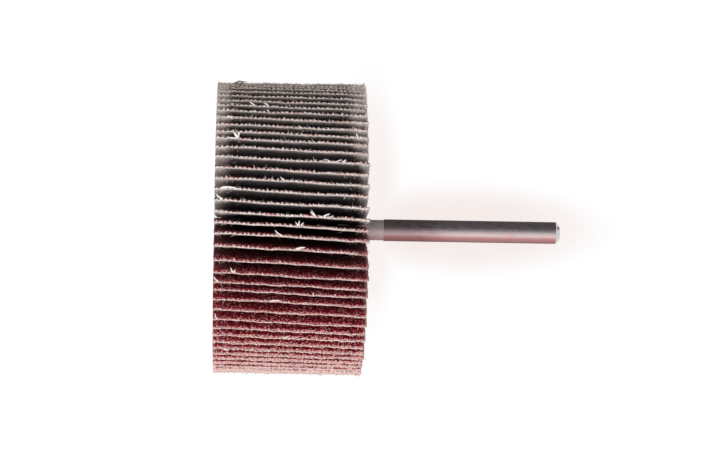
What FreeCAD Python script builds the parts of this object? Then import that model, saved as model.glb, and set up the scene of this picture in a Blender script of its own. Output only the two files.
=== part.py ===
import FreeCAD, Part
import math
import os

# Mounted flap wheel: abrasive cloth flaps set like a fan round a cast resin core on a steel shank.
# The wheel stands on the lower side edges of its flaps, which lie in the plane z = 0, and the shank
# points up along +Z. Lengths are in millimetres and angles in degrees.

# Wheel
WHEEL_DIAMETER = 80.0
FLAP_WIDTH = 40.0
FLAP_COUNT = 84
FLAPS_IN_A_NODE = 2

# Cloth, and how closely it is packed at the roots
CLOTH_THICKNESS = 0.8
ROOT_PLAY = 0.1
GLUE_FILM = 0.05

# Each flap leaves the core straight out, bends once above the flange, and runs on straight to its tip.
# LEAN is how far the tips trail their roots on average. The pack never settles evenly, so the tips
# wander about their even places in slow and quick waves: (waves round the wheel, size, phase).
FIRST_TIP_AT = -166.8
LEAN = 4.5
BEND_RADIUS = 20.0
BEND_ABOVE_FLANGE = 1.5
TIP_WAVES = ((2, 1.11, 123.0), (4, 0.77, 68.0), (11, 0.42, 138.0), (14, 0.30, -148.0), (18, 0.34, -169.0))

# The flaps are set slightly askew to the axis, and each settles a little up or down between the flanges.
SKEW = 2.5
AXIAL_PLAY = 0.4
PLAY_STEPS = 5
PLAY_STRIDE = 2

# Root of a flap: a tab at the core, and above it a slot for the retaining ring and the core's flange
TAB_HEIGHT = 1.6
TAB_SETBACK = 4.0
RING_WIDTH = 1.6
RING_HEIGHT = 3.0
RING_CLEARANCE = 0.1

# Resin core
FLANGE_THICKNESS = 2.4
NECK_RADIUS = 4.5
NECK_RISE = 1.0

# Shank. Its free length is ground. Below a small step it is turned down, and that rough length carries two
# flats which lock it in the resin. The step stands a little clear of the wheel.
SHANK_DIAMETER = 6.0
SHANK_FREE_LENGTH = 54.3
SHANK_TIP_CHAMFER = 1.1
TURNED_RELIEF = 0.2
TURNED_RISE = 5.8
SHANK_FOOT_CHAMFER = 0.4
SHANK_FOOT_PROUD = 0.5
FLAT_LENGTH = 18.0
FLAT_DEPTH = 0.6

# Worked out from the sizes above
PITCH = 360.0 / FLAP_COUNT
PACK_HEIGHT = FLAP_WIDTH + AXIAL_PLAY
TIP_RADIUS = WHEEL_DIAMETER / 2
SHANK_RADIUS = SHANK_DIAMETER / 2
TURNED_RADIUS = SHANK_RADIUS - TURNED_RELIEF
CORE_RADIUS = FLAP_COUNT * (CLOTH_THICKNESS + ROOT_PLAY) / (2 * math.pi)
ROOT_X = CORE_RADIUS + GLUE_FILM
TAB_X = ROOT_X + TAB_HEIGHT
RING_INNER_RADIUS = TAB_X + RING_CLEARANCE
RING_OUTER_RADIUS = RING_INNER_RADIUS + RING_WIDTH
BLADE_X = RING_OUTER_RADIUS + RING_CLEARANCE
BEND_X = BLADE_X + BEND_ABOVE_FLANGE
SKEW_RUN = FLAP_WIDTH * math.tan(math.radians(SKEW))
FACE_RECESS = TAB_SETBACK - FLANGE_THICKNESS


def point(x, y, z=0.0):
    return FreeCAD.Vector(x, y, z)


def export(name, shape):
    """Write one node as a STEP file under its own name."""
    shape.exportStep("parts/%s.step" % name)


def turned(corners):
    """Solid turned about the Z axis from a closed outline of (radius, height) corners."""
    outline = Part.makePolygon([point(radius, 0, height) for radius, height in corners + corners[:1]])
    return Part.Face(outline).revolve(point(0, 0), point(0, 0, 1), 360)


def tip_wander(index):
    """How far the tip of one flap is from its even place, from waves that run round the wheel."""
    turn = 360.0 * index / FLAP_COUNT
    return sum(size * math.sin(math.radians(waves * turn + phase)) for waves, size, phase in TIP_WAVES)


def bend_to_reach(tip_angle):
    """The bend, in radians, that brings a flap's tip to tip_angle from its root's own radius.

    The straight run from the bend to the tip is a tangent from the tip to the bend's circle, whose
    length comes back as well.
    """
    tip_x = TIP_RADIUS * math.cos(math.radians(tip_angle)) - BEND_X
    tip_y = TIP_RADIUS * math.sin(math.radians(tip_angle)) - BEND_RADIUS
    straight = math.sqrt(tip_x ** 2 + tip_y ** 2 - BEND_RADIUS ** 2)
    return math.atan2(tip_y, tip_x) + math.atan2(BEND_RADIUS, straight), straight


def flap_section(tip_angle):
    """Cross-section of a flap, square to the axis, with its root on the X axis."""
    bend, straight = bend_to_reach(tip_angle)
    half = CLOTH_THICKNESS / 2
    along = point(math.cos(bend), math.sin(bend))
    across = point(math.sin(bend), -math.cos(bend))
    middle = point(math.sin(bend / 2), -math.cos(bend / 2))
    centre = point(BEND_X, BEND_RADIUS)
    grain_radius = BEND_RADIUS + half
    back_radius = BEND_RADIUS - half
    grain_root = point(ROOT_X, -half)
    grain_foot = point(BEND_X, -half)
    grain_bend = centre + across * grain_radius
    grain_tip = grain_bend + along * straight
    back_root = point(ROOT_X, half)
    back_foot = point(BEND_X, half)
    back_bend = centre + across * back_radius
    back_tip = back_bend + along * straight
    edges = [
        Part.makeLine(grain_root, grain_foot),
        Part.Arc(grain_foot, centre + middle * grain_radius, grain_bend).toShape(),
        Part.makeLine(grain_bend, grain_tip),
        Part.makeLine(grain_tip, back_tip),
        Part.makeLine(back_tip, back_bend),
        Part.Arc(back_bend, centre + middle * back_radius, back_foot).toShape(),
        Part.makeLine(back_foot, back_root),
        Part.makeLine(back_root, grain_root),
    ]
    return Part.Face(Part.Wire(edges))


def root_cutters():
    """Blocks that set back the tab and cut the ring's slot at both sides of a flap's root."""
    reach = SKEW_RUN + CLOTH_THICKNESS
    inside = CORE_RADIUS / 2
    slot_depth = TAB_SETBACK + RING_HEIGHT
    blocks = []
    for tab_base, slot_base in ((0.0, 0.0), (FLAP_WIDTH - TAB_SETBACK, FLAP_WIDTH - slot_depth)):
        tab_corner = point(inside, -reach, tab_base)
        slot_corner = point(TAB_X, -reach, slot_base)
        blocks.append(Part.makeBox(TAB_X - inside, 2 * reach, TAB_SETBACK, tab_corner))
        blocks.append(Part.makeBox(BLADE_X - TAB_X, 2 * reach, slot_depth, slot_corner))
    return blocks


def flap(index, cutters):
    """One flap in its place: a bent strip of cloth, run up askew, with its root cut out."""
    tip_angle = LEAN + tip_wander(index)
    blank = flap_section(tip_angle).extrude(point(0, SKEW_RUN, FLAP_WIDTH))
    blank.translate(point(0, -SKEW_RUN / 2))
    body = blank.cut(cutters)
    settled = (index * PLAY_STRIDE % PLAY_STEPS) / (PLAY_STEPS - 1)
    body.translate(point(0, 0, AXIAL_PLAY * settled))
    body.rotate(point(0, 0), point(0, 0, 1), FIRST_TIP_AT - LEAN + index * PITCH)
    return body.Solids[0]


def shank():
    """Steel bar with a chamfered tip, turned down in its lower length, with two flats where the resin grips it."""
    foot = FACE_RECESS - SHANK_FOOT_PROUD
    step = PACK_HEIGHT + TURNED_RISE
    tip = PACK_HEIGHT + SHANK_FREE_LENGTH
    bar = turned([
        (0, foot),
        (TURNED_RADIUS - SHANK_FOOT_CHAMFER, foot),
        (TURNED_RADIUS, foot + SHANK_FOOT_CHAMFER),
        (TURNED_RADIUS, step),
        (SHANK_RADIUS, step),
        (SHANK_RADIUS, tip - SHANK_TIP_CHAMFER),
        (SHANK_RADIUS - SHANK_TIP_CHAMFER, tip),
        (0, tip),
    ])
    flat_base = (PACK_HEIGHT - FLAT_LENGTH) / 2
    flat_face = TURNED_RADIUS - FLAT_DEPTH
    for flat_start in (flat_face, -flat_face - SHANK_RADIUS):
        corner = point(flat_start, -SHANK_RADIUS, flat_base)
        bar = bar.cut(Part.makeBox(SHANK_RADIUS, SHANK_DIAMETER, FLAT_LENGTH, corner))
    return bar


def core(bar):
    """Cast resin spool that fills the space between the shank and the flap roots.

    Its flanges close the mouths of the ring slots, and the resin climbs a little up the shank.
    """
    upper_tabs = PACK_HEIGHT - TAB_SETBACK
    upper_face = PACK_HEIGHT - FACE_RECESS
    spool = turned([
        (0, FACE_RECESS),
        (RING_OUTER_RADIUS, FACE_RECESS),
        (RING_OUTER_RADIUS, TAB_SETBACK),
        (CORE_RADIUS, TAB_SETBACK),
        (CORE_RADIUS, upper_tabs),
        (RING_OUTER_RADIUS, upper_tabs),
        (RING_OUTER_RADIUS, upper_face),
        (NECK_RADIUS, upper_face),
        (TURNED_RADIUS, upper_face + NECK_RISE),
        (0, upper_face + NECK_RISE),
    ])
    return spool.cut(bar)


def retaining_ring(base):
    """Square-edged ring that keeps the flap roots from being drawn out."""
    return turned([
        (RING_INNER_RADIUS, base),
        (RING_OUTER_RADIUS, base),
        (RING_OUTER_RADIUS, base + RING_HEIGHT),
        (RING_INNER_RADIUS, base + RING_HEIGHT),
    ])


def main():
    os.makedirs("parts", exist_ok=True)
    bar = shank()
    export("shank", bar)
    export("resin_core", core(bar))
    export("lower_retaining_ring", retaining_ring(TAB_SETBACK))
    export("upper_retaining_ring", retaining_ring(PACK_HEIGHT - TAB_SETBACK - RING_HEIGHT))
    cutters = root_cutters()
    for number, first in enumerate(range(0, FLAP_COUNT, FLAPS_IN_A_NODE), start=1):
        members = range(first, min(first + FLAPS_IN_A_NODE, FLAP_COUNT))
        group = Part.makeCompound([flap(index, cutters) for index in members])
        export("flap_pair_%02d" % number, group)


main()
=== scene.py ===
import math

import bpy
import numpy as np
from bpy.props import FloatProperty, FloatVectorProperty, IntProperty, PointerProperty
from mathutils import Matrix, Vector


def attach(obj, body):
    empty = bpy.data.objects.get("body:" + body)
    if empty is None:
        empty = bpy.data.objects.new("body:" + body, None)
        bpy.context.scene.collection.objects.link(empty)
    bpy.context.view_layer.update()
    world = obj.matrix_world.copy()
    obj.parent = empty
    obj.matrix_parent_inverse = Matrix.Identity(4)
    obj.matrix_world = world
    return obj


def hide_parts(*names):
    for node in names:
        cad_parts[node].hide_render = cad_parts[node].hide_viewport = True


bl_info = {
    "name": "Mounted flap wheel",
    "version": (1, 0, 0),
    "blender": (4, 5, 0),
    "location": "View3D > Sidebar > Flap wheel",
    "description": "Dresses a flap wheel: coated cloth with frayed edges, a steel shank and a cast core",
    "category": "Object",
}

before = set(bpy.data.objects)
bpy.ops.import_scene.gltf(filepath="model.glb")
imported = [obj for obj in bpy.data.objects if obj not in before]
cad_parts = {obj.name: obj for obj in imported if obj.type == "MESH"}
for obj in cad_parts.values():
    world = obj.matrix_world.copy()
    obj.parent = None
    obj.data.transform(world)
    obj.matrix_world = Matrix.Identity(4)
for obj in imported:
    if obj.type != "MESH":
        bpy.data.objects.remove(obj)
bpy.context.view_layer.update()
ROOT = "root"
FLAP_NODES = sorted(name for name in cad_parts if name.startswith("flap_pair_"))
RINGS = ("lower_retaining_ring", "upper_retaining_ring")
MM = 0.001
SAME_PLACE = 2e-6
FULL_TURN = 2 * math.pi
WHITE = (1.0, 1.0, 1.0)
PALE, GRAIN, BACK, THREAD = range(4)

# Rows of a flap from its root to its tip: shares of the bend, then of the straight run beyond it. The steps
# in its root's side edges lean a little, so that no two rows share a place.
BEND_ROWS = (0.5, 1.0)
BLADE_ROWS = (0.4, 0.7, 0.88, 0.965, 1.0)
STEP_SLOPE = 0.02 * MM

# The cloth: its width in millimetres, the lengths of the waves in which its tip and side edges are worn, the
# tip's mean wear and how steeply it grows, and the notch between two yarns
FLAP_WIDTH = 40.0
TIP_WAVES = (2.9 * MM, 7.0 * MM, 17.0 * MM)
SIDE_WAVES = (2.1 * MM, 5.1 * MM)
WEAR_MEAN, WEAR_POWER = 1.6, 6
COLUMNS_A_YARN = 3
NOTCH = 0.12 * MM
FUZZ_BRIGHTER = 1.13

# The two rows of the pale lip on a tip: how far out and how far off the middle they lie, and how far in the
# materials take them to be, where below 0 is the side with the grain's dust
LIP_OUT = (0.06 * MM, 0.12 * MM)
LIP_OFF = (0.10 * MM, 0.26 * MM)
LIP_INWARD = (-0.4 * MM, 0.2 * MM)

# Waves of the ripple, by length in millimetres and size, and how far apart the flaps are in the textures
RIPPLE_WAVES = ((31.0, 1.0), (13.0, 0.5), (5.7, 0.3))
TEXTURE_STRIDE = 7.3

# Forms of a fibre: its number of sides, and its width at even shares of its length
YARN_END = (5, (1.0, 1.0, 0.55, 0.0))
STRAND = (3, (1.0, 0.85, 0.6, 0.0))
HAIR = (3, (1.0, 0.9, 0.7, 0.0))
LOOSE = (5, (1.0, 1.15, 1.0, 0.95, 0.8, 0.7, 0.5, 0.0))

# Loose threads of the frayed edges: height over the wheel's lower face and turn from the front, then how
# far each runs along the wheel and up round it, how far it lifts off, and its radius before the swell
THREAD_SWELL = 1.35
LOOSE_THREADS = (
    (4.6, -79, 2.6, 0.3, 1.9, 0.2), (5.8, -78, 2.2, 0.5, 1.7, 0.14), (4.2, -79, 1.5, -0.3, 1.4, 0.12),
    (10.3, -55, -1.5, 1.3, 0.7, 0.15), (13.9, -55, -1.3, 0.9, 0.7, 0.15), (13.9, -51, -0.6, 0.8, 0.6, 0.12),
    (2.6, -47, 1.5, -1.2, 0.6, 0.16), (37.6, -39, -0.6, 1.0, 0.7, 0.13), (5.8, -35, -1.3, 2.7, 1.2, 0.16),
    (5.8, -36, 0.2, 2.2, 1.0, 0.15), (6.0, -36, 1.0, 2.3, 1.1, 0.13), (5.7, -35, -0.6, 1.5, 1.3, 0.14),
    (5.4, -36, -2.6, 0.2, 0.5, 0.12), (33.6, -27, 0.8, 0.7, 0.6, 0.16), (30.0, -27, -1.8, 0.5, 0.5, 0.10),
    (31.8, -27, 1.6, 0.5, 0.5, 0.10), (18.2, -18, -1.2, 0.9, 0.6, 0.14), (1.8, -14, 4.8, -0.3, 0.6, 0.17),
    (2.0, -9, -1.8, 1.5, 0.5, 0.17), (26.5, -5, -1.6, 1.3, 0.7, 0.16), (26.2, -5, -1.1, 1.6, 0.8, 0.12),
    (28.6, -5, 1.7, 0.8, 0.7, 0.15), (30.2, -5, 0.8, 0.6, 0.6, 0.12), (22.4, -1, 0.1, 1.5, 0.6, 0.15),
    (22.0, -1, -0.7, 1.1, 0.6, 0.12), (22.9, -1, 0.8, 1.0, 0.6, 0.12), (17.6, 3, -1.8, 1.5, 0.5, 0.14),
    (21.9, 8, 2.5, 0.5, 0.5, 0.2), (4.9, 19, -0.6, 1.5, 0.7, 0.15), (5.0, 19, 0.5, 1.0, 0.6, 0.12),
    (1.3, 22, -1.2, 1.5, 0.5, 0.17), (15.3, 30, 3.2, 0.1, 0.4, 0.13), (0.9, 39, -0.6, 2.4, 0.6, 0.14),
    (18.7, 47, 1.7, 1.4, 0.5, 0.12), (15.0, 56, -0.5, 0.9, 0.5, 0.2), (3.0, 56, 1.4, -0.5, 0.6, 0.17),
)

# Faint pinkish painted shadows on the board behind: middle across and down, half width and half height in
# metres, and depth
PAINTED_SHADOWS = ((0.078, -0.0065, 0.117, 0.037, 0.80), (0.010, -0.025, 0.027, 0.105, 0.60))

# What the steel mirrors round it: turn from the front and the colour there
REFLECTED = (
    (-150, (0.08, 0.065, 0.07)), (-75, (0.046, 0.036, 0.040)), (-38, (0.046, 0.043, 0.053)),
    (-12, (0.19, 0.18, 0.19)), (12, (0.56, 0.51, 0.51)), (38, (0.86, 0.69, 0.68)), (78, (0.57, 0.28, 0.27)),
    (110, (0.40, 0.22, 0.22)), (178, (0.16, 0.12, 0.13)),
)
CARD_RADIUS, CARD_HEIGHT, CARD_GLOW, CARD_SIDES = 0.6, 0.28, 1.39, 72

# On the steel, in millimetres: where the turned length ends, and the middle of the small dark nick
TURNED_END = 46.2
NICK = (-1.35, -2.0, 94.2)

# Lamps: the way to each from the aim point, its distance, size, power and colour
LAMPS = {
    "front_light": ((0.42, -0.90, 0.1), 1.2, 0.8, 11.9, (1.0, 0.985, 0.97)),
    "upper_light": ((-0.90, -0.42, -0.1), 1.2, 0.6, 6.6, (1.0, 0.99, 0.98)),
}
FLOOR_GLOW, FLOOR_SIDES = 0.75, 96
BOARD_DISTANCE, BOARD_HALF = 1.5, 1.2


def colour_setting(name, description, *default):
    return FloatVectorProperty(
        name=name, description=description, default=default, size=3, subtype="COLOR", min=0.0, max=1.0)


def length_setting(name, description, default, least=0.0):
    return FloatProperty(
        name=name, description=description, default=default, min=least, unit="LENGTH", subtype="DISTANCE")


def angle_setting(name, description, degrees):
    return FloatProperty(
        name=name, description=description, default=math.radians(degrees), unit="ROTATION", subtype="ANGLE")


class ClothSettings(bpy.types.PropertyGroup):
    seed: IntProperty(name="Seed", description="Start of the chance numbers", default=11, min=0)
    yarn_pitch: length_setting("Yarn pitch", "Distance between the yarn ends along a tip", 1.2 * MM, 0.2 * MM)
    tooth: length_setting(
        "Tooth", "How far a yarn end reaches out over the grain layer at the tip", 0.31 * MM)
    strand_length: length_setting("Strand length", "Usual length of a frayed strand", 0.33 * MM)
    fray: length_setting("Fray", "How far the loosened side edges stand out past the cut", 0.45 * MM)
    splay: length_setting(
        "Splay", "How far the upper side edges have spread at the tips, or drawn in", 0.36 * MM)
    splay_turn: angle_setting(
        "Splay turn", "Where round the wheel the upper side edges have spread most", 10.0)
    ripple: length_setting("Ripple", "How far the tips ripple out of line", 0.09 * MM)
    wear: length_setting("Wear", "How unevenly the tips and side edges are worn back", 0.14 * MM)
    tip_fuzz: IntProperty(name="Tip fuzz", description="Fine hairs along one tip", default=40, min=0)
    edge_fuzz: IntProperty(name="Side fuzz", description="Fine hairs along one side edge", default=36, min=0)
    nap: IntProperty(
        name="Nap", description="Fine hairs that stand on the cotton near one side edge", default=46, min=0)
    grain_size: length_setting("Grain size", "Width of one abrasive grain", 0.4 * MM, 0.05 * MM)
    # Painted shade: the grain's colour far down between the flaps, where shade falls
    grain_in_painted_shade: colour_setting("Grain, deep", "Grain far down between the flaps", 0.10, 0.006, 0.009)
    grain_red: colour_setting("Grain, red", "Grain near the tips", 0.62, 0.012, 0.040)
    # Painted glint: the bright pink of grain faces that catch the light
    grain_glint: colour_setting("Grain, bright", "Clean faces of the grains", 0.92, 0.42, 0.41)
    grain_worn: colour_setting("Grain, worn", "Grain worn to pink dust at the tips", 1.0, 0.60, 0.57)
    # Painted shade: the cotton's colour far down between the flaps, where shade falls
    back_in_painted_shade: colour_setting("Backing, deep", "Sized cotton far down between the flaps", 0.028, 0.023, 0.022)
    back_colour: colour_setting("Backing", "Sized cotton near the tips", 0.265, 0.231, 0.212)
    pale_colour: colour_setting("Frayed cotton", "Loose cotton at the cut edges", 0.73, 0.672, 0.635)


class CoreSettings(bpy.types.PropertyGroup):
    steel: colour_setting("Steel", "Ground steel of the shank", 0.62, 0.605, 0.612)
    # Painted reflection: pink blotches standing in for red mirrored in the steel
    pink_reflection: colour_setting("Blush", "Warm bloom on the steel", 0.65, 0.533, 0.533)
    resin: colour_setting("Resin", "Cast resin of the core", 0.26, 0.13, 0.06)


class StageSettings(bpy.types.PropertyGroup):
    floor_radius: length_setting("Floor radius", "Size of the round floor", 3.0)
    surround: FloatProperty(name="Surround", description="Light from all round", default=0.30, min=0.0)
    camera_distance: length_setting("Camera distance", "From the aim point to the camera", 0.9144)
    camera_lens: FloatProperty(name="Lens", description="Focal length in millimetres", default=168.9)
    camera_yaw: angle_setting("Yaw", "How far the camera looks at the wheel from its free face", 1.62)
    camera_roll: angle_setting("Roll", "How far the shank drops to its end in the picture", 0.96)
    aim_height: length_setting("Aim height", "Height of the aim point", 38.1 * MM)
    aim_side: length_setting("Aim side", "The aim point's distance from the axis", 1.6 * MM)


def operators(operation):
    """An operator on fields that adds a Math node, and its reflected form."""
    def plain(self, other):
        return self.shader.maths(operation, self, other)

    def reflected(self, other):
        return self.shader.maths(operation, other, self)

    return plain, reflected


class Field:
    """A number that varies over a surface. Python's operators on it add Math nodes to its shader."""

    __add__, __radd__ = operators("ADD")
    __sub__, __rsub__ = operators("SUBTRACT")
    __mul__, __rmul__ = operators("MULTIPLY")
    __truediv__, __rtruediv__ = operators("DIVIDE")

    def __init__(self, shader, socket):
        self.shader = shader
        self.socket = socket


class Shader:
    """The node tree of a material or a world, built from the pattern towards its output."""

    def __init__(self, owner):
        owner.use_nodes = True
        self.tree = owner.node_tree
        self.tree.nodes.clear()

    def node(self, kind, settings=None, inputs=None):
        """Adds a node: its settings first, then the values or links of its sockets."""
        made = self.tree.nodes.new("ShaderNode" + kind)
        for name, value in (settings or {}).items():
            setattr(made, name, value)
        for name, value in (inputs or {}).items():
            source = value.socket if isinstance(value, Field) else value
            if isinstance(source, bpy.types.NodeSocket):
                self.tree.links.new(source, made.inputs[name])
            else:
                made.inputs[name].default_value = source
        return made

    def maths(self, operation, *numbers):
        return Field(self, self.node("Math", {"operation": operation}, dict(enumerate(numbers))).outputs[0])

    def sine(self, number):
        return self.maths("SINE", number)

    def least(self, first, second):
        return self.maths("MINIMUM", first, second)

    def greatest(self, first, second):
        return self.maths("MAXIMUM", first, second)

    def smooth(self, number, low, high):
        """0 below low and 1 above high, with a soft step between them. Swapped ends turn it over."""
        inputs = {"Value": number, "From Min": low, "From Max": high}
        return Field(self, self.node("MapRange", {"interpolation_type": "SMOOTHSTEP"}, inputs).outputs[0])

    def blend(self, share, first, second):
        """Goes from the first colour to the second as the share goes from 0 to 1."""
        given = [c if isinstance(c, bpy.types.NodeSocket) else (*c, 1.0) for c in (first, second)]
        return self.node("Mix", {"data_type": "RGBA"}, {0: share, 6: given[0], 7: given[1]}).outputs[2]

    def axes(self, vector):
        """The three numbers of a vector."""
        parts = self.node("SeparateXYZ", inputs={"Vector": vector})
        return [Field(self, parts.outputs[axis]) for axis in "XYZ"]

    def vector(self, x, y, z):
        return self.node("CombineXYZ", inputs={"X": x, "Y": y, "Z": z}).outputs[0]

    def noise(self, vector, scale, detail=2.0, rough=0.5):
        inputs = {"Vector": vector, "Scale": scale, "Detail": detail, "Roughness": rough}
        return Field(self, self.node("TexNoise", inputs=inputs).outputs[0])

    def cells(self, vector, scale):
        """The distance from the nearest of many scattered points, and that point's own chance colour."""
        made = self.node("TexVoronoi", inputs={"Vector": vector, "Scale": scale})
        return Field(self, made.outputs["Distance"]), self.axes(made.outputs["Color"])

    def turned_noise(self, axes, across, along, detail, rough):
        """Noise for a turned part, with one scale across its axis and another along it."""
        x, y, z = axes
        return self.noise(self.vector(x * across, y * across, z * along), 1.0, detail, rough)

    def bump(self, height, distance):
        inputs = {"Height": height, "Distance": distance, "Strength": 1.0}
        return self.node("Bump", inputs=inputs).outputs[0]

    def place(self):
        """Where a point lies in its object's coordinates, which are the frame's."""
        return self.node("TexCoord").outputs["Object"]

    def down(self):
        """How far below the axis a point lies in the picture, in millimetres."""
        return self.axes(self.place())[0] / MM

    def output(self, shown):
        self.node("OutputMaterial", inputs={"Surface": shown.outputs[0]})

    def finish(self, surface):
        """Adds the main surface shader and its output."""
        self.output(self.node("BsdfPrincipled", inputs=surface))

    def finish_front(self, seen):
        """Shows a shader on the front of its faces. From behind they are clear."""
        behind = self.node("NewGeometry").outputs["Backfacing"]
        clear = self.node("BsdfTransparent").outputs[0]
        self.output(self.node("MixShader", inputs={0: behind, 1: seen.outputs[0], 2: clear}))


def material(name):
    made = bpy.data.materials.new(name)
    return made, Shader(made)


def cloth_place(shader):
    """Where a point lies on its flap: across from the lower side edge, in from the tip, and a chance number.

    The two lengths are in millimetres. The vector holds the same three, for textures.
    """
    place = shader.node("Attribute", {"attribute_name": "cloth"}).outputs["Vector"]
    return place, *shader.axes(place)


def grain_material(cloth):
    """Abrasive side: a cell pattern of grains, with painted glints at some faces, painted shade deep down and
    pink wear at the tip.

    Down the picture the pink reaches further in and is paler, and the red is brighter: painted light.
    """
    made, shader = material("abrasive_grain")
    smooth, blend, noise = shader.smooth, shader.blend, shader.noise
    place, across, inward, _ = cloth_place(shader)
    distance, (lot, shine, turn) = shader.cells(place, MM / cloth.grain_size)
    cloud = noise(place, 0.6, 3.0)
    side = shader.down()
    # Painted shade: the grain goes from its red near the tip to a deep colour further in between the flaps;
    # the red is brighter down the picture, as painted light
    near = smooth(inward + 2.0 * (cloud - 0.5), 6.5, 0.4)
    near = near * (0.72 + 0.28 * smooth(side, 14.0, 26.0))
    body = smooth(distance, 0.85, 0.2) * (0.25 + 0.75 * lot)
    tone = blend(near, cloth.grain_in_painted_shade, cloth.grain_red)
    red = blend(body, (0.032, 0.003, 0.004), tone)
    # Painted glints: some grain faces are lifted to bright pink, dimmer in the painted shade further in
    painted_glint = smooth(shine + 0.5 * cloud, 0.94, 1.12) * smooth(distance, 0.7, 0.3)
    lit = blend(painted_glint * (0.25 + 0.65 * near), red, cloth.grain_glint)
    cut = smooth(inward, -0.2, 0.05)
    patch = smooth(noise(place, 0.30, 3.0), 0.50, 0.62)
    dusted = shader.greatest(smooth(side, -8.0, 10.0), patch)
    # Painted light: down the picture the worn pink at the tips reaches further in and is paler; higher up it
    # is held back
    painted_light_low = smooth(side, 26.0, 41.0)
    held = 1.1 * smooth(side, 33.0, 12.0)
    reach_of_wear_and_light = inward + 0.6 * noise(place, 1.7) + turn * (0.9 - 0.6 * painted_light_low) + held + 0.3 * painted_light_low
    wear_and_painted_light = smooth(reach_of_wear_and_light, 1.6, 1.15) * cut * dusted
    worn_pink_and_lit = blend(painted_light_low, cloth.grain_worn, (1.0, 0.74, 0.70))
    worn = blend(shader.greatest(lot, painted_light_low), (0.96, 0.34, 0.325), worn_pink_and_lit)
    dark_cut = (0.95 - 0.45 * dusted) * smooth(inward - 0.6 * (1.0 - dusted), 0.05, -0.2)
    dim = blend(dark_cut, lit, (0.035, 0.010, 0.011))
    filled_and_lit = shader.greatest(smooth(distance, 0.75, 0.35), 0.95 * painted_light_low)
    dust_and_painted_light = blend(wear_and_painted_light * filled_and_lit, dim, worn)
    edge = shader.least(across, FLAP_WIDTH - across) + 0.8 * noise(place, 1.6)
    colour = blend(smooth(edge, 0.5, 0.0) * 0.3, dust_and_painted_light, cloth.grain_worn)
    shader.finish({
        "Base Color": colour,
        "Roughness": 0.75 - 0.15 * painted_glint,
        "Specular IOR Level": 0.2,
        "Normal": shader.bump((1.0 - distance) * (0.5 + 0.5 * turn), 0.2 * MM),
    })
    return made


def back_material(cloth):
    """Cotton side: a twill of sized yarns that run down the flap, fuzzy and pale towards its side edges, with
    painted shade further down between the flaps.

    Up the picture the pale fuzz of the upper side edges is wider.
    """
    made, shader = material("cotton_backing")
    smooth, blend, noise = shader.smooth, shader.blend, shader.noise
    place, across, inward, chance = cloth_place(shader)
    drift = noise(place, 0.35, 2.0)
    warp = shader.sine((across + 0.25 * drift) * 10.5)
    weft = shader.sine((inward - 0.4 * across) * 12.0)
    streak = noise(shader.vector(across * 1.9, inward * 0.2, chance), 1.0, 4.0, 0.65)
    speck = noise(place, 5.0, 2.0)
    # Painted shade: the cotton darkens from near the tip to a deep colour further in between the flaps
    near = smooth(inward + 0.9 * (drift - 0.5), 1.7, -0.05)
    tone = blend(near, cloth.back_in_painted_shade, cloth.back_colour)
    shade = smooth(0.75 * streak + 0.35 * speck + 0.04 * warp * weft, 0.38, 0.72)
    dyed = blend(0.35 + 0.65 * shade, (0.03, 0.024, 0.024), tone)
    wide = smooth(shader.down(), -12.0, -30.0)
    wander = 2.5 * (drift - 0.5)
    lower = smooth(across + wander, 4.4, 1.6)
    upper = smooth(FLAP_WIDTH - across + wander, 2.4 + 3.4 * wide, 0.6 + 1.2 * wide)
    nap = shader.greatest(lower, upper) * (0.55 + 0.45 * smooth(speck, 0.36, 0.58))
    rubbed = smooth(inward + 0.5 * noise(place, 1.8), 0.7, 0.3)
    pale = shader.greatest(nap * (0.8 + 0.2 * near), rubbed * 0.5)
    fuzz = [FUZZ_BRIGHTER * channel for channel in cloth.pale_colour]
    shader.finish({
        "Base Color": blend(pale, dyed, fuzz),
        "Roughness": 0.92,
        "Specular IOR Level": 0.2,
        "Sheen Weight": 0.1,
        "Normal": shader.bump(0.5 * warp + 0.35 * weft + 1.4 * speck + nap, 0.10 * MM),
    })
    return made


def thread_material(cloth):
    """Loose threads: clean white cotton with a soft grain of fibres, dark brown at the top of the picture."""
    made, shader = material("loose_thread")
    fleck = shader.noise(cloth_place(shader)[0], 2.5, 2.0)
    clean = shader.blend(fleck, (0.97, 0.95, 0.92), (0.86, 0.80, 0.77))
    darker_at_top = shader.smooth(shader.down(), -36.0, -39.0)
    shader.finish({
        "Base Color": shader.blend(darker_at_top, clean, (0.24, 0.215, 0.165)),
        "Roughness": 0.9,
        "Sheen Weight": 0.2,
        "Normal": shader.bump(fleck, 0.08 * MM),
    })
    return made


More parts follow.
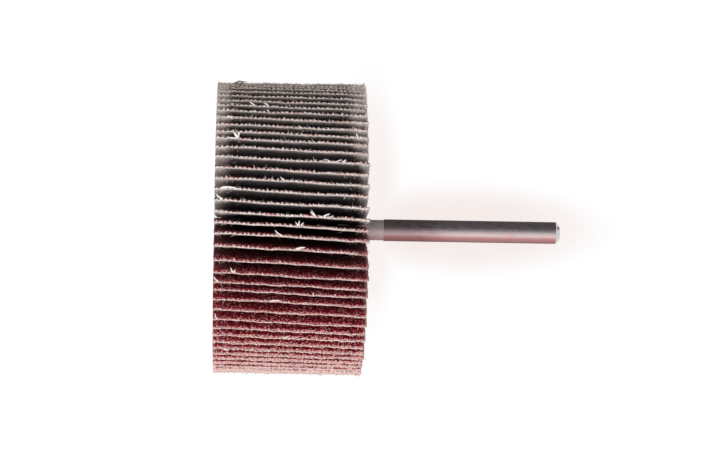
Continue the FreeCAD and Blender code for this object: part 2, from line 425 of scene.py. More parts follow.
def pale_material(cloth):
    """Frayed cotton: off-white, with pink dust from the grain here and there; down the picture it is pinker
    and darker, dust with painted shade, and paler at the bottom as painted light.
    """
    made, shader = material("frayed_cotton")
    smooth, blend, noise = shader.smooth, shader.blend, shader.noise
    place, across, inward, _ = cloth_place(shader)
    dust = noise(place, 0.30, 3.0)
    fleck = noise(place, 3.0, 2.0)
    patch = smooth(dust, 0.44, 0.60)
    side = shader.down()
    red_dust = smooth(inward, -0.05, -0.4) * (0.12 + 0.88 * patch)
    # Down the picture the cotton turns pinker and darker: pink dust with painted shade
    pink_dust_and_shade = smooth(side, -12.0, 16.0) * (0.42 + 0.28 * patch)
    dust_and_painted_light = shader.greatest(patch * 0.30, shader.greatest(red_dust, pink_dust_and_shade))
    # Painted light: the pink is paler at the bottom of the picture
    pink_lit_low = blend(smooth(side, 22.0, 36.0), (0.66, 0.31, 0.305), (1.0, 0.66, 0.62))
    pink = blend(dust_and_painted_light, cloth.pale_colour, pink_lit_low)
    shaded = smooth(inward, 0.0, -0.3) * smooth(side, -2.0, 10.0)
    shaded = shaded * smooth(side, 24.0, 12.0)
    rim = smooth(across, 37.6, 39.4) * smooth(side, -4.0, 4.0)
    rim = rim * smooth(side, 26.0, 12.0)
    red = blend(shader.greatest(shaded, rim) * (0.55 + 0.35 * patch), pink, (0.30, 0.05, 0.06))
    warm = blend(smooth(side, -35.5, -38.0) * 0.75, red, (0.70, 0.53, 0.47))
    grey = blend(smooth(fleck, 0.55, 0.75) * 0.55, warm, (0.30, 0.22, 0.21))
    shader.finish({
        "Base Color": grey,
        "Roughness": 0.95,
        "Specular IOR Level": 0.2,
        "Sheen Weight": 0.2,
        "Normal": shader.bump(fleck, 0.08 * MM),
    })
    return made


class Flap:
    """The line of one flap: straight out from its root, round one bend, and straight on to its tip.

    It is read from the flap's own solid. Places are in the flap's axes, whose X runs out along the root
    and whose Y points to the cotton side, and low and high are its lowest and highest edges.
    """

    def __init__(self, points, cloth):
        self.cloth = cloth
        heights = points[:, 2]
        self.low, self.high = heights.min(), heights.max()
        base = points[heights < self.low + SAME_PLACE, :2]
        inner = base[np.argsort(np.hypot(*base.T))[:2]]
        side = inner[1] - inner[0]
        self.thickness = np.hypot(*side)
        out = np.array([side[1], -side[0]]) / self.thickness
        self.out = out * np.sign(out @ inner[0])
        self.back = np.array([-self.out[1], self.out[0]])
        x, y = points[:, :2] @ self.out, points[:, :2] @ self.back
        self.root_x, self.tab_x, self.blade_x, bend_x = levels(x)[:4]
        self.foot = bend_x - self.root_x
        at_tab = np.abs(x - self.tab_x) < SAME_PLACE
        self.tab_low, self.slot_low, self.slot_high, self.tab_high = levels(heights[at_tab])
        at_blade = np.abs(x - self.blade_x) < SAME_PLACE
        self.y_low, self.y_high = [
            y[at_blade & (np.abs(heights - z) < SAME_PLACE)].mean() for z in (self.low, self.high)]
        lowest = np.flatnonzero(heights < self.low + SAME_PLACE)
        cotton_tip, grain_tip = lowest[np.argsort(x[lowest])[-2:]]
        self.bend = math.atan2(x[grain_tip] - x[cotton_tip], y[cotton_tip] - y[grain_tip])
        tip = np.array([x[grain_tip] + x[cotton_tip], y[grain_tip] + y[cotton_tip]]) / 2
        sine, cosine = math.sin(self.bend), math.cos(self.bend)
        self.radius, self.straight = np.linalg.solve(
            [[sine, cosine], [1 - cosine, sine]], tip - [bend_x, self.y_low])
        self.length = self.foot + self.radius * self.bend + self.straight
        middle = tip[0] * self.out + (tip[1] + (self.y_high - self.y_low) / 2) * self.back
        self.tip_turn = math.degrees(math.atan2(middle[1], middle[0])) + 90

    def splay(self):
        """How far the upper side edge is moved out at the tip: a cosine of twice the turn round the wheel."""
        return self.cloth.splay * math.cos(2 * (math.radians(self.tip_turn) - self.cloth.splay_turn))

    def free(self, along):
        """The share of the way from the foot of the bend to the tip."""
        return np.clip((along - self.foot) / (self.length - self.foot), 0, 1)

    def ripple(self, height, along):
        """Sideways ripple of the cloth: waves across it that grow with the square of the way to the tip."""
        turn = FULL_TURN * height / MM
        wave = sum(size * np.sin(turn / length + start)
                   for (length, size), start in zip(RIPPLE_WAVES, self.starts))
        return self.cloth.ripple * self.free(along) ** 2 * wave

    def rows(self):
        """Distances from the root at which the flap has rows, and the lowest and highest places there."""
        tab, blade = self.tab_x - self.root_x, self.blade_x - self.root_x
        turn = self.radius * self.bend
        cut = [0.0, tab - STEP_SLOPE, tab + STEP_SLOPE, blade - STEP_SLOPE, blade + STEP_SLOPE, self.foot]
        bend = [self.foot + turn * share for share in BEND_ROWS]
        run = [self.foot + turn + self.straight * share for share in BLADE_ROWS]
        beyond = len(cut) - 4 + len(bend) + len(run)
        low = [self.tab_low] * 2 + [self.slot_low] * 2 + [self.low] * beyond
        high = [self.tab_high] * 2 + [self.slot_high] * 2 + [self.high] * beyond
        return np.array(cut + bend + run), np.array(low), np.array(high)

    def places(self, along, height, off):
        """Points of space at distances along from the root, at those heights, and off to the cotton side.

        The skew moves the whole line sideways in step with the height.
        """
        turn = np.clip((along - self.foot) / self.radius, 0, self.bend)
        rest = np.maximum(along - self.foot - self.radius * self.bend, 0)
        skew = self.y_low + (self.y_high - self.y_low) * (height - self.low) / (self.high - self.low)
        x = self.root_x + np.minimum(along, self.foot) + self.radius * np.sin(turn) + rest * np.cos(self.bend)
        y = skew + self.radius * (1 - np.cos(turn)) + rest * np.sin(self.bend)
        x = x - off * np.sin(turn)
        y = y + off * np.cos(turn)
        flat = x[..., None] * self.out + y[..., None] * self.back
        return np.concatenate([flat, np.broadcast_to(height, x.shape)[..., None]], axis=-1)

    def headings(self):
        """At the tip: the way out along the cloth, the way to the grain side, and the way up."""
        sine, cosine = math.sin(self.bend), math.cos(self.bend)
        outward = cosine * self.out + sine * self.back
        to_grain = sine * self.out - cosine * self.back
        return np.array([*outward, 0.0]), np.array([*to_grain, 0.0]), np.array([0.0, 0.0, 1.0])


def levels(values):
    """The distinct levels among many values, lowest first. One close to the last is the same level."""
    ordered = np.sort(values)
    return ordered[np.diff(ordered, prepend=-np.inf) > SAME_PLACE]


def solids_of(node):
    """The corner points of each closed solid in a CAD node.

    Corners at one place are joined. Then every corner takes the lowest number among its triangles'
    corners, over and over, until each solid has one number.
    """
    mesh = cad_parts[node].data
    places = np.empty(len(mesh.vertices) * 3)
    mesh.vertices.foreach_get("co", places)
    corners = np.empty(len(mesh.loops), int)
    mesh.loops.foreach_get("vertex_index", corners)
    points, joined = np.unique(np.round(places.reshape(-1, 3), 7), axis=0, return_inverse=True)
    triangles = joined.ravel()[corners].reshape(-1, 3)
    label = np.arange(len(points))
    while True:
        spread = label.copy()
        np.minimum.at(spread, triangles.ravel(), np.repeat(label[triangles].min(axis=1), 3))
        if np.array_equal(spread, label):
            return [points[label == number] for number in np.unique(label)]
        label = spread


def waves(chance, positions, lengths):
    """A smooth chance line: the mean of one sine wave of each length, each with its own start."""
    starts = chance.uniform(0, FULL_TURN, len(lengths))
    turns = FULL_TURN * positions[..., None] / np.array(lengths) + starts
    return np.sin(turns).sum(axis=-1) / math.sqrt(len(lengths))


def part(points, faces, skins, cloth):
    """One part of a piece: corner points, faces, the material of each face, and the cloth coordinates."""
    return {
        "points": points.reshape(-1, 3),
        "faces": faces,
        "skins": np.broadcast_to(skins, len(faces)),
        "cloth": cloth.reshape(-1, 3),
    }


def ring_faces(rows, columns):
    """Four-cornered faces of a grid whose rows close to a ring, and the row of each."""
    j, i = np.meshgrid(np.arange(rows), np.arange(columns - 1), indexing="ij")
    after = (j + 1) % rows
    here = [j * columns + i, after * columns + i, after * columns + i + 1, j * columns + i + 1]
    return np.stack(here, axis=-1).reshape(-1, 4), j.ravel()


def ladder_faces(rows, columns, column):
    """Faces that close one side edge: rungs between the grain rows and the cotton rows, and the lip's end."""
    step = np.arange(rows - 1)
    lip = len(LIP_OUT)
    total = 2 * rows + lip
    grain, cotton = step, total - 1 - step
    rungs = np.stack([grain, cotton, cotton - 1, grain + 1], axis=-1) * columns + column
    tip = np.array([[rows - 1, rows + lip, rows + lip - 1, rows]]) * columns + column
    return np.concatenate([rungs, tip])


def sheet_part(flap, number, cloth, chance, yarns):
    """The strip of coated cloth: a closed ring of rows across the width, grain side out, cotton side back.

    The rows follow the flap's line. The tip is worn back unevenly, and a notch parts each yarn from the
    next. The pale yarn ends reach out in teeth over the grain layer's cut edge. The side edges are frayed
    and worn too, and the upper one is splayed in step with the way to the tip.
    """
    along, low, high = flap.rows()
    columns = yarns * COLUMNS_A_YARN + 1
    rows = len(along)
    across = np.linspace(0.0, 1.0, columns)
    gap = np.arange(columns) % COLUMNS_A_YARN == 0
    width = flap.high - flap.low
    worn = cloth.wear * (WEAR_MEAN + waves(chance, across * width, TIP_WAVES)) + gap * NOTCH
    tooth = np.where(gap, 0.0, cloth.tooth * chance.uniform(0.3, 1.3, columns))
    ragged = 0.6 * cloth.wear * waves(chance, np.linspace(0, flap.length, rows), SIDE_WAVES)
    free = flap.free(along)
    proud = (cloth.fray + ragged) * (free > 0)
    upper = high + proud + flap.splay() * free
    height = np.maximum(low - proud, 0)[:, None] * (1 - across) + upper[:, None] * across
    reach = along[:, None] - worn[None, :] * (free ** WEAR_POWER)[:, None]
    half = flap.thickness / 2 * np.ones((rows, 1))
    drift = flap.ripple(height, reach)
    grain = flap.places(reach, height, drift - half)
    lip_reach = reach[-1:] + np.array(LIP_OUT)[:, None]
    lip_off = np.stack([LIP_OFF[0] - tooth, np.full(columns, LIP_OFF[1])])
    lip = flap.places(lip_reach, np.repeat(height[-1:], 2, axis=0), drift[-1:] + lip_off)
    cotton = flap.places(reach, height, drift + half)[::-1]
    points = np.concatenate([grain, lip, cotton])
    lip_in = np.repeat(np.array(LIP_INWARD)[:, None], columns, axis=1)
    inward = np.concatenate([flap.length - reach, lip_in, (flap.length - reach)[::-1]])
    levels_up = np.concatenate([height, height[-1:], height[-1:], height[::-1]]) - flap.low
    depth = np.full(points.shape[:2], number * TEXTURE_STRIDE * MM)
    coordinates = np.stack([levels_up, inward, depth], axis=-1) / MM
    faces, row = ring_faces(len(points), columns)
    skins = np.select([row < rows, row < rows + 1, row < 2 * rows + 1], [GRAIN, PALE, BACK], PALE)
    lower = ladder_faces(rows, columns, 0)
    higher = ladder_faces(rows, columns, columns - 1)[:, ::-1]
    faces = np.concatenate([faces, lower, higher])
    skins = np.concatenate([skins, np.full(len(lower) + len(higher), PALE)])
    return part(points, faces, skins, coordinates)


def fibres_part(starts, ways, curls, lengths, radii, form, coordinates, to_grain, skin=PALE):
    """Many tapered fibres at once. Each runs from its start along its way and bends evenly by its curl.

    Its line at a share t of its length is start + length * (t * way + t * t * curl). Rings of corners stand
    round it at even shares, with the radius times the form's width, and the last ring is drawn to a point.
    The second cloth coordinate is below 0 on the corners that look to the grain side.
    """
    sides, taper = form
    stations = len(taper)
    share = np.linspace(0, 1, stations)
    line = starts[:, None] + lengths[:, None, None] * (
        share[None, :, None] * ways[:, None] + (share ** 2)[None, :, None] * curls[:, None])
    line[..., 2] = np.maximum(line[..., 2], radii[:, None] * 1.2)
    heading = ways[:, None] + 2 * share[None, :, None] * curls[:, None]
    heading /= np.linalg.norm(heading, axis=-1, keepdims=True)
    aside = np.where(np.abs(heading[:, :1, 2:]) > 0.8, np.array([1.0, 0, 0]), np.array([0, 0, 1.0]))
    first = np.cross(heading, aside)
    first /= np.linalg.norm(first, axis=-1, keepdims=True)
    second = np.cross(heading, first)
    angle = FULL_TURN * np.arange(sides) / sides
    ring = np.cos(angle)[:, None] * first[:, :-1, None] + np.sin(angle)[:, None] * second[:, :-1, None]
    body = line[:, :-1, None] + ring * (radii[:, None] * np.array(taper[:-1]))[..., None, None]
    count, corners = len(starts), (stations - 1) * sides + 1
    points = np.concatenate([body.reshape(count, -1, 3), line[:, -1:]], axis=1)
    one = []
    for level in range(stations - 2):
        one += [[level * sides + k, level * sides + (k + 1) % sides, (level + 1) * sides + (k + 1) % sides,
                 (level + 1) * sides + k] for k in range(sides)]
    crown, tip = (stations - 2) * sides, corners - 1
    one += [[crown + k, crown + (k + 1) % sides, tip, tip] for k in range(sides)]
    faces = (np.array(one)[None] + corners * np.arange(count)[:, None, None]).reshape(-1, 4)
    base = np.arange(sides)[::-1] + corners * np.arange(count)[:, None]
    if sides == 3:
        base = base[:, [0, 1, 2, 2]]
    base = base[:, :4]
    faces = np.concatenate([faces, base])
    cloth = np.repeat(coordinates[:, None], corners, axis=1)
    cloth[:, :-1, 1] = -0.5 * (ring @ to_grain).reshape(count, -1)
    return part(points, faces, skin, cloth)


def spread(chance, count, weights, *ways):
    """Unit ways: each of the given ways times a chance number about its weight, added and made unit long."""
    total = sum(chance.normal(mean, wide, count)[:, None] * way for (mean, wide), way in zip(weights, ways))
    return total / np.linalg.norm(total, axis=1, keepdims=True)


def frayed(flap, chance, along, heights, off, ways, curls, lengths, radii, form):
    """Fibres that start on the cloth: at distances along it, at heights, and off its middle."""
    starts = flap.places(along, heights, flap.ripple(heights, along) + off)
    depth = chance.uniform(0, 9, len(heights))
    coordinates = np.stack([(heights - flap.low) / MM, 0 * heights, depth], axis=-1)
    return fibres_part(starts, ways, curls, lengths, radii, form, coordinates, flap.headings()[1])


def fringe_parts(flap, cloth, chance, yarns):
    """What frays from one flap: yarn ends and strands at the tip, fine hairs at the tip and side edges."""
    outward, to_grain, up = axes = flap.headings()
    width = flap.high - flap.low
    ends = flap.low + (np.arange(yarns) + 0.5 + chance.uniform(-0.15, 0.15, yarns)) * width / yarns
    size = chance.gamma(5.0, 0.2, yarns)
    parts = [frayed(
        flap, chance, np.full(yarns, flap.length - 0.3 * MM), ends, -0.10 * MM,
        spread(chance, yarns, ((0.55, 0.15), (0.85, 0.2), (0.0, 0.3)), *axes),
        spread(chance, yarns, ((0.0, 0.3), (0.5, 0.4), (0.0, 0.5)), *axes) * 0.35,
        cloth.strand_length * (0.55 + 0.5 * size), 0.18 * MM * (0.7 + 0.3 * size), YARN_END)]
    count = yarns * 2
    near_tip = flap.length - 0.2 * MM
    places = np.clip(np.repeat(ends, 2) + chance.normal(0, 0.3, count) * MM, flap.low, flap.high)
    parts.append(frayed(
        flap, chance, np.full(count, near_tip), places, chance.uniform(-0.2, 0.3, count) * MM,
        spread(chance, count, ((0.55, 0.3), (0.7, 0.5), (0.0, 0.6)), *axes),
        spread(chance, count, ((-0.1, 0.4), (0.4, 0.5), (0.0, 0.6)), *axes) * 0.6,
        cloth.strand_length * chance.gamma(2.2, 0.5, count).clip(0.3, 2.0),
        chance.uniform(0.06, 0.11, count) * MM, STRAND))
    count = cloth.tip_fuzz
    parts.append(frayed(
        flap, chance, np.full(count, near_tip), chance.uniform(flap.low, flap.high, count),
        chance.uniform(-0.3, 0.35, count) * MM,
        spread(chance, count, ((0.5, 0.3), (0.2, 0.8), (0.0, 0.8)), *axes),
        spread(chance, count, ((0.0, 0.5), (0.2, 0.7), (0.0, 0.7)), *axes) * 0.9,
        chance.gamma(3.0, 0.15, count).clip(0.1, 0.8) * MM, chance.uniform(0.04, 0.065, count) * MM, HAIR))
    for edge, way in ((flap.low, 1.0), (flap.high + flap.splay(), -1.0)):
        sides = (outward, to_grain, -way * up)
        count = cloth.edge_fuzz
        along = flap.length - chance.exponential(5.0, count).clip(0, 18.0) * MM
        heights = edge + way * chance.uniform(-0.3, 0.3, count) * MM
        parts.append(frayed(
            flap, chance, along, heights, chance.uniform(-0.35, 0.35, count) * MM,
            spread(chance, count, ((0.1, 0.5), (0.0, 0.6), (0.7, 0.3)), *sides),
            spread(chance, count, ((0.1, 0.6), (0.0, 0.6), (-0.2, 0.5)), *sides) * 0.8,
            chance.gamma(3.0, 0.14, count) * MM, chance.uniform(0.05, 0.08, count) * MM, HAIR))
        count = cloth.nap
        along = flap.length - chance.exponential(2.2, count).clip(0.1, 9.0) * MM
        heights = edge + way * chance.exponential(1.6, count).clip(0.1, 6.0) * MM
        parts.append(frayed(
            flap, chance, along, heights, np.full(count, flap.thickness * 0.48),
            spread(chance, count, ((0.3, 0.5), (-0.7, 0.3), (0.3, 0.6)), *sides),
            spread(chance, count, ((0.0, 0.6), (-0.1, 0.5), (0.0, 0.7)), *sides) * 0.8,
            chance.gamma(3.0, 0.13, count) * MM, chance.uniform(0.05, 0.08, count) * MM, HAIR))
    return parts


def thread_parts(flap, threads):
    """Loose threads on this flap's tip: each a bent fibre that runs along and up round the wheel."""
    if not threads:
        return []
    outward, to_grain, up = flap.headings()
    height, _, run, climb, lift, radius = np.array(threads).T * MM
    tip = np.full(len(height), flap.length - 0.2 * MM)
    starts = flap.places(tip, flap.low + height, flap.ripple(flap.low + height, tip) - 0.1 * MM)
    reach = np.sqrt(run ** 2 + climb ** 2)
    ends = run[:, None] * up + climb[:, None] * to_grain
    belly = 0.3 * np.where(np.arange(len(run)) % 2, 1.0, -1.0)[:, None] * (
        climb[:, None] * up - run[:, None] * to_grain)
    ways = (ends * 0.9 + belly + 1.6 * lift[:, None] * outward) / reach[:, None]
    curls = (ends * 0.1 - belly - 1.4 * lift[:, None] * outward) / reach[:, None]
    coordinates = np.stack([height / MM, 0 * height, 0 * height], axis=-1)
    radii = radius * THREAD_SWELL
    return [fibres_part(starts, ways, curls, reach, radii, LOOSE, coordinates, to_grain, THREAD)]


def put(name, data):
    """Links a new object with this mesh, lamp or camera to the scene."""
    made = bpy.data.objects.new(name, data)
    bpy.context.scene.collection.objects.link(made)
    return made


def plain_mesh(name, points, faces, skin):
    mesh = bpy.data.meshes.new(name)
    mesh.from_pydata([list(point) for point in points], [], [list(face) for face in faces])
    mesh.materials.append(skin)
    return mesh


def hide_from(piece, *rays):
    for ray in rays:
        setattr(piece, "visible_" + ray, False)


def mesh_piece(name, parts, materials):
    """One object at the origin from several parts. A face that names its last corner twice is a triangle."""
    sizes = [len(p["points"]) for p in parts]
    starts = np.concatenate([[0], np.cumsum(sizes)[:-1]])
    faces = np.concatenate([p["faces"] + start for p, start in zip(parts, starts)])
    points = np.concatenate([p["points"] for p in parts])
    three = faces[:, 2] == faces[:, 3]
    corners = np.where(three, 3, 4)
    kept = np.ones(faces.shape, bool)
    kept[:, 3] = ~three
    mesh = bpy.data.meshes.new(name)
    mesh.vertices.add(len(points))
    mesh.vertices.foreach_set("co", points.ravel())
    mesh.loops.add(int(corners.sum()))
    mesh.loops.foreach_set("vertex_index", faces[kept])
    mesh.polygons.add(len(faces))
    mesh.polygons.foreach_set("loop_start", np.concatenate([[0], np.cumsum(corners)[:-1]]))
    for skin in materials:
        mesh.materials.append(skin)
    mesh.polygons.foreach_set("material_index", np.concatenate([p["skins"] for p in parts]))
    mesh.polygons.foreach_set("use_smooth", np.ones(len(faces), bool))
    made = mesh.attributes.new("cloth", "FLOAT_VECTOR", "POINT")
    made.data.foreach_set("vector", np.concatenate([p["cloth"] for p in parts]).astype(np.float32).ravel())
    mesh.update(calc_edges=True)
    return put(name, mesh)


class FLAPWHEEL_OT_flaps(bpy.types.Operator):
    """Weave every flap in its place, with its grain, its cotton back and its frayed edges"""
    bl_idname = "flapwheel.flaps"
    bl_label = "Flaps"

    def execute(self, context):
        cloth = context.scene.flap_wheel_cloth
        materials = [skin(cloth) for skin in (pale_material, grain_material, back_material, thread_material)]
        pairs = {node: [Flap(points, cloth) for points in solids_of(node)] for node in FLAP_NODES}
        turns = np.array([flap.tip_turn for pair in pairs.values() for flap in pair])
        nearest = [np.argmin(np.abs((turns - thread[1] + 180) % 360 - 180)) for thread in LOOSE_THREADS]
        for order, (node, pair) in enumerate(pairs.items()):
            parts = []
            for side, flap in enumerate(pair):
                number = 2 * order + side
                chance = np.random.default_rng(cloth.seed + number)
                flap.starts = chance.uniform(0, FULL_TURN, len(RIPPLE_WAVES))
                yarns = round((flap.high - flap.low) / cloth.yarn_pitch)
                parts.append(sheet_part(flap, number, cloth, chance, yarns))
                parts += fringe_parts(flap, cloth, chance, yarns)
                parts += thread_parts(
                    flap, [thread for thread, at in zip(LOOSE_THREADS, nearest) if at == number])
            piece = mesh_piece(node.replace("flap_pair", "cloth_flaps"), parts, materials)
            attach(piece, ROOT)
            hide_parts(node)
        return {"FINISHED"}


def wear_finish(node, skin):
    """Gives a CAD node one material in all its slots."""
    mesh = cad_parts[node].data
    mesh.materials.clear()
    mesh.materials.append(skin)


class FLAPWHEEL_OT_shank(bpy.types.Operator):
    """Finish the steel shank: ground along its free length, rough where it was turned down"""
    bl_idname = "flapwheel.shank"
    bl_label = "Shank"

    def execute(self, context):
        core = context.scene.flap_wheel_core
        made, shader = material("ground_steel")
        axes = [axis / MM for axis in shader.axes(shader.place())]
        z = axes[2]
        turned = shader.smooth(z, TURNED_END + 0.1, TURNED_END - 0.1)
        streaks = shader.turned_noise(axes, 2.2, 0.3, 4.0, 0.65)
        dapple = shader.turned_noise(axes, 0.9, 2.4, 3.0, 0.6)
        mottle = shader.turned_noise(axes, 0.8, 0.45, 3.0, 0.6)
        rings = shader.turned_noise(axes, 0.05, 9.0, 3.0, 0.7)
        # Painted reflection: pink blotches mixed into the steel's colour stand in for red that it mirrors
        bloom = shader.smooth(mottle, 0.42, 0.66)
        ground = shader.blend(bloom, core.steel, core.pink_reflection)
        # Painted shade: the steel darkens towards the wheel
        painted_shade_near_wheel = shader.smooth(z + 14.0 * mottle, 76.0, 60.0) * 0.75
        shaded_near_wheel = shader.blend(painted_shade_near_wheel, ground, (0.317, 0.223, 0.230))
        dulled = shader.blend(turned, shaded_near_wheel, shader.blend(mottle, (0.40, 0.35, 0.35), (0.62, 0.54, 0.54)))
        worn = shader.blend(shader.smooth(streaks, 0.5, 0.75) * 0.25, dulled, (0.288, 0.274, 0.281))
        off = [axis - middle for axis, middle in zip(axes, NICK)]
        nick = shader.smooth(sum(length * length for length in off), 0.36, 0.14)
        height = streaks * (1.0 - turned) * 0.3 + dapple * (1.0 - turned) * 0.5
        height = height + rings * (0.08 + 2.0 * turned)
        shader.finish({
            "Base Color": shader.blend(nick, worn, (0.09, 0.09, 0.07)),
            "Metallic": 1.0 - 0.15 * turned - 0.8 * nick,
            "Roughness": 0.15 + 0.13 * mottle + 0.14 * turned,
            "Normal": shader.bump(height, 0.02 * MM),
        })
        wear_finish("shank", made)
        return {"FINISHED"}


class FLAPWHEEL_OT_core(bpy.types.Operator):
    """Finish the cast resin core and the two retaining rings"""
    bl_idname = "flapwheel.core"
    bl_label = "Core and rings"

    def execute(self, context):
        core = context.scene.flap_wheel_core
        made, shader = material("cast_resin")
        place = shader.place()
        cloud = shader.noise(place, 160.0, 4.0, 0.6)
        speck = shader.noise(place, 1400.0, 2.0)
        pits, (lot, *_) = shader.cells(place, 420.0)
        hole = shader.smooth(pits, 0.22, 0.12) * shader.smooth(lot, 0.6, 0.7)
        tone = shader.blend(cloud, (0.10, 0.045, 0.022), core.resin)
        shader.finish({
            "Base Color": shader.blend(hole * 0.8, tone, (0.03, 0.015, 0.01)),
            "Roughness": 0.30 + 0.30 * speck,
            "Coat Weight": 0.4 - 0.3 * hole,
            "Coat Roughness": 0.15,
            "Normal": shader.bump(0.6 * cloud + 0.1 * speck - hole, 0.25 * MM),
        })
        wear_finish("resin_core", made)
        strip, shader = material("ring_steel")
        drawn = shader.turned_noise(shader.axes(shader.place()), 40.0, 6000.0, 3.0, 0.7)
        shader.finish({
            "Base Color": shader.blend(drawn, (0.34, 0.34, 0.35), (0.58, 0.57, 0.56)),
            "Metallic": 1.0,
            "Roughness": 0.30 + 0.25 * drawn,
            "Normal": shader.bump(drawn, 0.02 * MM),
        })
        for ring in RINGS:
            wear_finish(ring, strip)
        return {"FINISHED"}


def world_light(strength):
    """White all round: full white where the camera, a gloss or clear glass looks, a plain light elsewhere."""
    world = bpy.data.worlds.new("tent")
    shader = Shader(world)
    path = shader.node("LightPath").outputs
    rays = [Field(shader, path["Is %s Ray" % kind]) for kind in ("Camera", "Glossy", "Transmission")]
    seen = shader.least(rays[0] + rays[1] + rays[2], 1.0)
    level = strength + seen * (1.0 - strength)
    lit = shader.node("Background", inputs={"Color": (*WHITE, 1.0), "Strength": level})
    shader.node("OutputWorld", inputs={"Surface": lit.outputs[0]})
    bpy.context.scene.world = world


def floor_piece(radius):
    """A round white floor under the wheel, lifted to white by a glow of its own. It is clear from below."""
    angle = FULL_TURN * np.arange(FLOOR_SIDES) / FLOOR_SIDES
    points = np.stack([radius * np.cos(angle), radius * np.sin(angle), 0 * angle], axis=-1)
    made, shader = material("white_floor")
    cloud = shader.noise(shader.place(), 3.0)
    matt = shader.node("BsdfPrincipled", inputs={
        "Base Color": shader.blend(cloud, (0.80, 0.79, 0.78), (0.82, 0.81, 0.80)), "Roughness": 0.9})
    glow = shader.node("Emission", inputs={"Strength": FLOOR_GLOW})
    shader.finish_front(shader.node("AddShader", inputs={0: matt.outputs[0], 1: glow.outputs[0]}))
    piece = put("floor", plain_mesh("floor", points, [range(FLOOR_SIDES)], made))


def backdrop(aim, right, down, away):
    """A white board far behind the wheel that only the camera sees, with a faint pinkish painted shadow round
    the shank.

    From behind it is clear. Its map runs in metres to the right and down from the middle of the picture.
    """
    middle = aim + away * BOARD_DISTANCE
    corners = ((-1, 1, 0), (1, 1, 0), (1, -1, 0), (-1, -1, 0))
    places = [middle + BOARD_HALF * (i * right + j * down) for i, j, _ in corners]
    made, shader = material("backdrop")
    mesh = plain_mesh("backdrop", places, [range(4)], made)
    board = mesh.attributes.new("board", "FLOAT_VECTOR", "POINT")
    board.data.foreach_set("vector", (np.array(corners, np.float32) * BOARD_HALF).ravel())
    x, y, _ = shader.axes(shader.node("Attribute", {"attribute_name": "board"}).outputs["Vector"])
    painted_shadow = 0.0
    for at_x, at_y, wide, tall, depth in PAINTED_SHADOWS:
        far_x, far_y = (x - at_x) / wide, (y - at_y) / tall
        painted_shadow = shader.greatest(painted_shadow, shader.smooth(far_x * far_x + far_y * far_y, 1.0, 0.1) * depth)
    shadowed_board = shader.blend(painted_shadow, WHITE, (0.90, 0.80, 0.78))
    shader.finish_front(shader.node("Emission", inputs={"Color": shadowed_board}))
    piece = put("backdrop", mesh)
    hide_from(piece, "diffuse", "glossy", "transmission", "volume_scatter", "shadow")


def soft_light(name, aim, way, distance, size, power, colour):
    """A square lamp at a distance from the aim point, turned to face it. The camera never sees it."""
    lamp = bpy.data.lights.new(name, "AREA")
    lamp.shape = "SQUARE"
    lamp.size = size
    lamp.energy = power
    lamp.color = colour
    piece = put(name, lamp)
    way = Vector(way).normalized()
    piece.location = Vector(aim) + way * distance
    piece.rotation_euler = way.to_track_quat("Z", "Y").to_euler()
    hide_from(piece, "camera", "glossy")


def reflector():
    """A card bent round the axis that only the steel's gloss sees, graded by the turn from the front.

    Turns grow from the camera's side towards the bottom of the picture. Its colour goes softly from one
    stop to the next.
    """
    step = np.arange(CARD_SIDES)
    turn = FULL_TURN * step / CARD_SIDES
    foot = np.column_stack([CARD_RADIUS * np.cos(turn), CARD_RADIUS * np.sin(turn), 0 * turn])
    head = foot + [0, 0, CARD_HEIGHT]
    after = (step + 1) % CARD_SIDES
    faces = np.stack([step, after, after + CARD_SIDES, step + CARD_SIDES], axis=-1)
    made, shader = material("card")
    x, y, _ = shader.axes(shader.place())
    place = shader.maths("ARCTAN2", x, 0.0 - y) * (180 / math.pi)
    last, shown = REFLECTED[0]
    for at, colour in REFLECTED[1:]:
        shown = shader.blend(shader.smooth(place, last, at), shown, colour)
        last = at
    shader.output(shader.node("Emission", inputs={"Color": shown, "Strength": CARD_GLOW}))
    piece = put("card", plain_mesh("card", np.concatenate([foot, head]), faces, made))
    hide_from(piece, "camera", "diffuse", "transmission", "volume_scatter", "shadow")


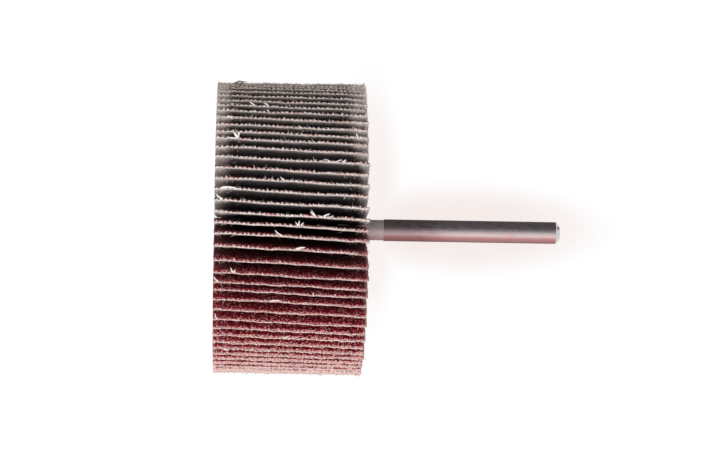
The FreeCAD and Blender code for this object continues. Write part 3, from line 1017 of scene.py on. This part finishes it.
class FLAPWHEEL_OT_stage(bpy.types.Operator):
    """Set the floor, the light and the camera"""
    bl_idname = "flapwheel.stage"
    bl_label = "Stage"

    def execute(self, context):
        stage = context.scene.flap_wheel_stage
        world_light(stage.surround)
        floor_piece(stage.floor_radius)
        aim = Vector((stage.aim_side, 0.0, stage.aim_height))
        for name, lamp in LAMPS.items():
            soft_light(name, aim, *lamp)
        reflector()
        right = Vector((0.0, -math.sin(stage.camera_yaw), math.cos(stage.camera_yaw)))
        up = Vector((-1.0, 0.0, 0.0))
        back = right.cross(up)
        backdrop(aim, right, -up, -back)
        turned = Matrix.Rotation(stage.camera_roll, 3, back)
        axes = Matrix((turned @ right, turned @ up, back)).transposed()
        lens = bpy.data.cameras.new("camera")
        lens.lens = stage.camera_lens
        lens.clip_start, lens.clip_end = 0.05, 20.0
        camera = put("camera", lens)
        camera.location = aim + back * stage.camera_distance
        camera.rotation_euler = axes.to_euler()
        context.scene.camera = camera
        context.scene.view_settings.view_transform = "Standard"
        return {"FINISHED"}


class FLAPWHEEL_PT_panel(bpy.types.Panel):
    """The steps that dress the wheel, and their settings"""
    bl_idname = "FLAPWHEEL_PT_panel"
    bl_label = "Flap wheel"
    bl_space_type = "VIEW_3D"
    bl_region_type = "UI"
    bl_category = "Flap wheel"

    def draw(self, context):
        for step in STEPS:
            self.layout.operator(step.bl_idname)
        for name in SETTINGS:
            group = getattr(context.scene, name)
            box = self.layout.box()
            for prop in group.bl_rna.properties.keys()[1:]:
                box.prop(group, prop)


STEPS = (FLAPWHEEL_OT_flaps, FLAPWHEEL_OT_shank, FLAPWHEEL_OT_core, FLAPWHEEL_OT_stage)
SETTINGS = {
    "flap_wheel_cloth": ClothSettings,
    "flap_wheel_core": CoreSettings,
    "flap_wheel_stage": StageSettings,
}
CLASSES = (*SETTINGS.values(), *STEPS, FLAPWHEEL_PT_panel)


def register():
    for each in CLASSES:
        bpy.utils.register_class(each)
    for name, group in SETTINGS.items():
        setattr(bpy.types.Scene, name, PointerProperty(type=group))


def unregister():
    for name in SETTINGS:
        delattr(bpy.types.Scene, name)
    for each in reversed(CLASSES):
        bpy.utils.unregister_class(each)


def main():
    register()
    bpy.ops.flapwheel.flaps()
    bpy.ops.flapwheel.shank()
    bpy.ops.flapwheel.core()
    bpy.ops.flapwheel.stage()


if __name__ == "__main__":
    main()
